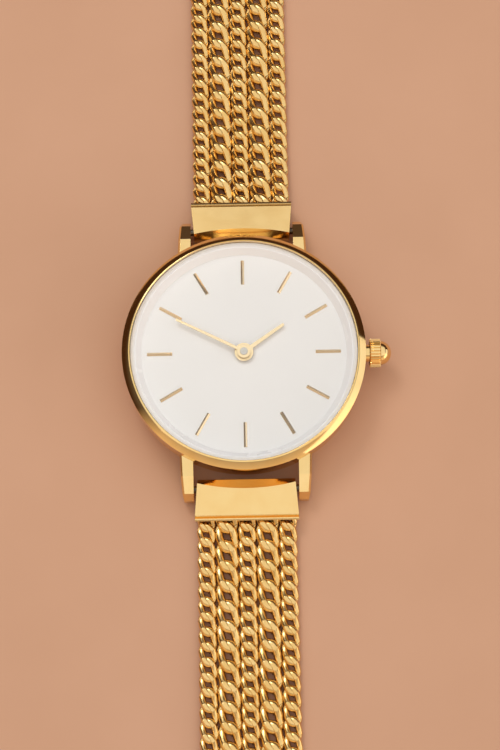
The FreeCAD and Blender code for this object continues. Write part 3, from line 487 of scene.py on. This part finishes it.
# the outline swept from one side to the other; the marked corner makes the scoop's curved rim
def capBlank():
    half, edge = capShape["half"], capShape["edge"]
    cap = bmesh.new()
    onRim = cap.verts.layers.int.new("onRim")
    profile = capProfile()
    corners = [cap.verts.new((-half, y, z)) for y, z in profile]
    corners[profile.index((capShape["scoopEdge"], 0))][onRim] = 1
    drawOutline(cap, corners, closed=True)
    bmesh.ops.spin(cap, geom=cap.verts[:] + cap.edges[:], cent=(0, 0, 0), axis=(1, 0, 0), angle=0,
                   dvec=(2 * half / capShape["slices"], 0, 0), steps=capShape["slices"], use_duplicate=False)
    bmesh.ops.holes_fill(cap, edges=[edge for edge in cap.edges if edge.is_boundary], sides=0)
    for corner in cap.verts:
        if corner[onRim]:
            corner.co.y += capShape["scoopSag"] * (1 - (corner.co.x / half) ** 2)
            corner.co.z = capShape["radius"] - max(corner.co.y, 0) * capShape["fall"] - edge / 2
        corner.co.x *= halfWidthAt(corner.co.y) / half
    bmesh.ops.recalc_face_normals(cap, faces=cap.faces[:])
    return cap


def capMesh():
    cap = capBlank()
    reach = capShape["length"] - capShape["flush"]
    ends = [face for face in cap.faces if min(corner.co.y for corner in face.verts) > reach]
    bmesh.ops.inset_region(cap, faces=ends, thickness=capShape["wall"], use_even_offset=True,
                           use_boundary=True)
    pocket = bmesh.ops.extrude_face_region(cap, geom=ends)["geom"]
    bmesh.ops.delete(cap, geom=ends, context="FACES")
    bmesh.ops.translate(cap, verts=vertsIn(pocket), vec=(0, -capShape["pocket"], 0))
    bmesh.ops.recalc_face_normals(cap, faces=cap.faces[:])
    return cap


for side in halves:
    cap = capMesh()
    bmesh.ops.transform(cap, verts=cap.verts[:], matrix=atSpringBar(side))
    piece = newPiece("end_cap_" + side, cap, capGold)
    piece.data.set_sharp_from_angle(angle=capShape["sharp"])
    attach(piece, "end_piece_" + side)
    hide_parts("end_piece_" + side)
print("end caps built")


# crown: a ridged drum with a bore for the case tube, and a dome on it

crownShape = {
    "inner": 14.5 * mm, "axis": 3.2 * mm, "grip": 1.25 * mm, "radius": 1.66 * mm, "edge": 0.09 * mm,
    "ridges": 30, "ridgeCorners": 6, "cutCorners": 2, "cut": 0.11 * mm, "boreWall": 0.45 * mm,
    "boreDepth": 1.2 * mm, "domeRadius": 1.38 * mm, "domeLength": 1.25 * mm, "domeSteps": 14, "turns": 64,
    "mergeReach": 0.0005 * mm, "sharp": math.radians(28),
}


def crownDrum():
    radius, edge, grip = crownShape["radius"], crownShape["edge"], crownShape["grip"]
    drum = bmesh.new()
    rim = bmesh.ops.create_circle(drum, segments=crownShape["ridges"] * crownShape["ridgeCorners"],
                                  radius=radius, cap_ends=False)["verts"]
    for index, corner in enumerate(rim):
        if index % crownShape["ridgeCorners"] < crownShape["cutCorners"]:
            corner.co *= 1 - crownShape["cut"] / radius
    narrow = 1 - edge / radius
    foot = edges = drum.edges[:]
    bmesh.ops.scale(drum, verts=rim, vec=(narrow, narrow, 1))
    height, width = 0, narrow
    for nextHeight, nextWidth in ((edge, 1), (grip - edge, 1), (grip, narrow)):
        made = bmesh.ops.extrude_edge_only(drum, edges=edges)["geom"]
        edges = edgesIn(made)
        bmesh.ops.translate(drum, verts=vertsIn(made), vec=(0, 0, nextHeight - height))
        bmesh.ops.scale(drum, verts=vertsIn(made), vec=(nextWidth / width, nextWidth / width, 1))
        height, width = nextHeight, nextWidth
    bmesh.ops.holes_fill(drum, edges=edges, sides=0)
    floor = bmesh.ops.holes_fill(drum, edges=foot, sides=0)["faces"]
    bmesh.ops.recalc_face_normals(drum, faces=drum.faces[:])
    bmesh.ops.inset_region(drum, faces=floor, thickness=crownShape["boreWall"])
    bore = bmesh.ops.extrude_face_region(drum, geom=floor)["geom"]
    bmesh.ops.delete(drum, geom=floor, context="FACES")
    bmesh.ops.translate(drum, verts=vertsIn(bore), vec=(0, 0, crownShape["boreDepth"]))
    bmesh.ops.recalc_face_normals(drum, faces=drum.faces[:])
    return drum


def crownDome():
    radius, length, grip = crownShape["domeRadius"], crownShape["domeLength"], crownShape["grip"]
    dome = bmesh.new()
    arc = []
    for step in range(crownShape["domeSteps"]):
        turn = math.pi / 2 * step / crownShape["domeSteps"]
        arc.append(dome.verts.new((radius * math.cos(turn), 0, grip + length * math.sin(turn))))
    tip = dome.verts.new((0, 0, grip + length))
    foot = dome.verts.new((radius, 0, grip - crownShape["edge"]))
    drawOutline(dome, [foot] + arc + [tip], closed=False)
    spinRound(dome, crownShape["turns"], crownShape["mergeReach"])
    bmesh.ops.holes_fill(dome, edges=[edge for edge in dome.edges if edge.is_boundary], sides=0)
    bmesh.ops.recalc_face_normals(dome, faces=dome.faces[:])
    return dome


crownPlace = Matrix.Translation((crownShape["inner"], 0, crownShape["axis"]))
crownPlace = crownPlace @ Matrix.Rotation(math.pi / 2, 4, "Y")
for name, mesh in (("crown_grip", crownDrum()), ("crown_dome", crownDome())):
    bmesh.ops.transform(mesh, verts=mesh.verts[:], matrix=crownPlace)
    piece = newPiece(name, mesh, crownGold)
    piece.data.set_sharp_from_angle(angle=crownShape["sharp"])
    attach(piece, "crown")
    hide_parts("crown")
print("crown built")


# bezel: a spun ring whose polished slope is slightly crowned

bezelShape = {
    "radius": 14.0 * mm, "opening": 13.03 * mm, "rebate": 13.43 * mm, "foot": 4.30 * mm, "shelf": 4.78 * mm,
    "edgeTop": 5.38 * mm, "top": 6.0 * mm, "lip": 0.14 * mm, "lipShare": 0.4, "round": 0.05 * mm,
    "crown": 0.02 * mm, "crownSteps": 6, "turns": 144, "mergeReach": 0.001 * mm, "sharp": math.radians(30),
}


# radius and height of each corner, from the foot up the slope and down the inside
def bezelProfile():
    radius, opening, rounding = bezelShape["radius"], bezelShape["opening"], bezelShape["round"]
    foot, shelf, top = bezelShape["foot"], bezelShape["shelf"], bezelShape["top"]
    low = Vector((radius, bezelShape["edgeTop"]))
    high = Vector((opening + bezelShape["lip"], top - rounding * bezelShape["lipShare"]))
    along = high - low
    outward = Vector((along.y, -along.x)).normalized()
    points = [(radius - rounding, foot), (radius, foot + rounding)]
    for step in range(bezelShape["crownSteps"] + 1):
        share = step / bezelShape["crownSteps"]
        bulge = bezelShape["crown"] * 4 * share * (1 - share)
        point = low + along * share + outward * bulge
        points.append((min(point.x, radius), min(point.y, top)))
    points += [(opening + rounding, top), (opening, top - rounding), (opening, shelf)]
    points += [(bezelShape["rebate"], shelf), (bezelShape["rebate"], foot)]
    return points


def bezelMesh():
    ring = bmesh.new()
    corners = [ring.verts.new((radius, 0, height)) for radius, height in bezelProfile()]
    drawOutline(ring, corners, closed=True)
    spinRound(ring, bezelShape["turns"], bezelShape["mergeReach"])
    bmesh.ops.recalc_face_normals(ring, faces=ring.faces[:])
    return ring


bezel = newPiece("bezel_ring", bezelMesh(), caseGold)
bezel.data.set_sharp_from_angle(angle=bezelShape["sharp"])
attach(bezel, "watch_head")
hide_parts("bezel")
print("bezel spun")


# stage, lights and camera

stage = {
    "floorSize": 4.0, "floorLevel": -0.02 * mm, "floorTones": ((0.65, 0.37, 0.235), (0.62, 0.35, 0.22)),
    "floorRoughness": 0.75, "floorGrain": 0.8 * mm, "floorGrainDepth": 0.01 * mm, "floorPatch": 20 * mm,
}


def buildFloor():
    floorMesh = bmesh.new()
    bmesh.ops.create_grid(floorMesh, x_segments=1, y_segments=1, size=stage["floorSize"] / 2,
                          matrix=Matrix.Translation((0, 0, stage["floorLevel"])))
    material = plainFinish("floorFinish", stage["floorTones"], stage["floorRoughness"], stage["floorGrain"],
                           stage["floorGrainDepth"], stage["floorPatch"])
    newPiece("floor", floorMesh, material, smooth=False)


buildFloor()

lamps = {
    "key": {"place": (-0.25, 0.45, 0.65), "aim": (0, 0, 0), "size": (0.26, 0.26), "brightness": 5.5,
            "colour": (1.0, 0.98, 0.95)},
    "overhead": {"place": (0.0, 0.133, 0.70), "aim": (0, 0.133, 0), "size": (2.0, 1.526), "brightness": 0.72,
                 "colour": (1.0, 0.98, 0.95)},
    "right": {"place": (0.551, -0.148, 0.185), "aim": (0, 0, 0), "size": (0.84, 0.27), "brightness": 1.05,
              "colour": (1.0, 0.98, 0.98)},
}


# a lamp's brightness is the radiance of its face, so its power grows with its size
def buildLamps():
    for name, lamp in lamps.items():
        data = bpy.data.lights.new(name, "AREA")
        data.shape = "RECTANGLE"
        data.size, data.size_y = lamp["size"]
        data.energy = lamp["brightness"] * math.pi * data.size * data.size_y
        data.color = lamp["colour"]
        light = bpy.data.objects.new(name, data)
        place = Vector(lamp["place"])
        light.location = place
        light.rotation_mode = "QUATERNION"
        light.rotation_quaternion = (Vector(lamp["aim"]) - place).to_track_quat("-Z", "Y")
        bpy.context.scene.collection.objects.link(light)


buildLamps()

surround = {
    "up": (0.28, 0.27, 0.26), "upEdges": (0.25, 0.85), "dim": (0.060, 0.026, 0.013),
    "glow": (0.98, 0.70, 0.47), "glowFrom": (0.10, -0.99, 0.05), "glowEdges": (0.15, 0.45), "strength": 1.0,
}


# a soft room: pale overhead, dim at the sides and beyond 12 o'clock, with a warm glow beyond 6 o'clock
def buildWorld():
    world = bpy.data.worlds.new("surround")
    bpy.context.scene.world = world
    world.use_nodes = True
    tree = world.node_tree
    tree.nodes.clear()
    direction = addNode(tree, "TexCoord").outputs["Generated"]
    height = addNode(tree, "SeparateXYZ", {0: direction}).outputs["Z"]
    glowSide = addNode(tree, "VectorMath", {0: direction, 1: surround["glowFrom"]}, operation="DOT_PRODUCT")
    glowShare = remap(tree, glowSide.outputs["Value"], surround["glowEdges"])
    level = blendColours(tree, glowShare, surround["dim"], surround["glow"])
    tone = blendColours(tree, remap(tree, height, surround["upEdges"]), level, surround["up"])
    background = addNode(tree, "Background", {"Color": tone, "Strength": surround["strength"]})
    output = addNode(tree, "OutputWorld")
    tree.links.new(background.outputs["Background"], output.inputs["Surface"])


buildWorld()

shot = {
    "elevation": math.radians(74.543), "azimuth": math.radians(-0.957), "roll": math.radians(0.136),
    "distance": 240.536 * mm, "target": Vector((0.667, -1.46, 0)) * mm, "focalPixels": 2059.57,
    "longSidePixels": 750, "sensor": 36.0, "clip": (0.01, 10),
}


def buildCamera():
    data = bpy.data.cameras.new("camera")
    data.sensor_width = shot["sensor"]
    data.lens = shot["sensor"] * shot["focalPixels"] / shot["longSidePixels"]
    data.clip_start, data.clip_end = shot["clip"]
    camera = bpy.data.objects.new("camera", data)
    level, turn = shot["elevation"], shot["azimuth"]
    back = Vector((math.sin(turn) * math.cos(level), -math.cos(turn) * math.cos(level), math.sin(level)))
    camera.location = shot["target"] + back * shot["distance"]
    camera.rotation_mode = "QUATERNION"
    camera.rotation_quaternion = (-back).to_track_quat("-Z", "Y") @ Quaternion((0, 0, 1), -shot["roll"])
    bpy.context.scene.collection.objects.link(camera)
    bpy.context.scene.camera = camera


buildCamera()
bpy.context.scene.view_settings.view_transform = "Standard"
print("stage, lamps and camera ready")
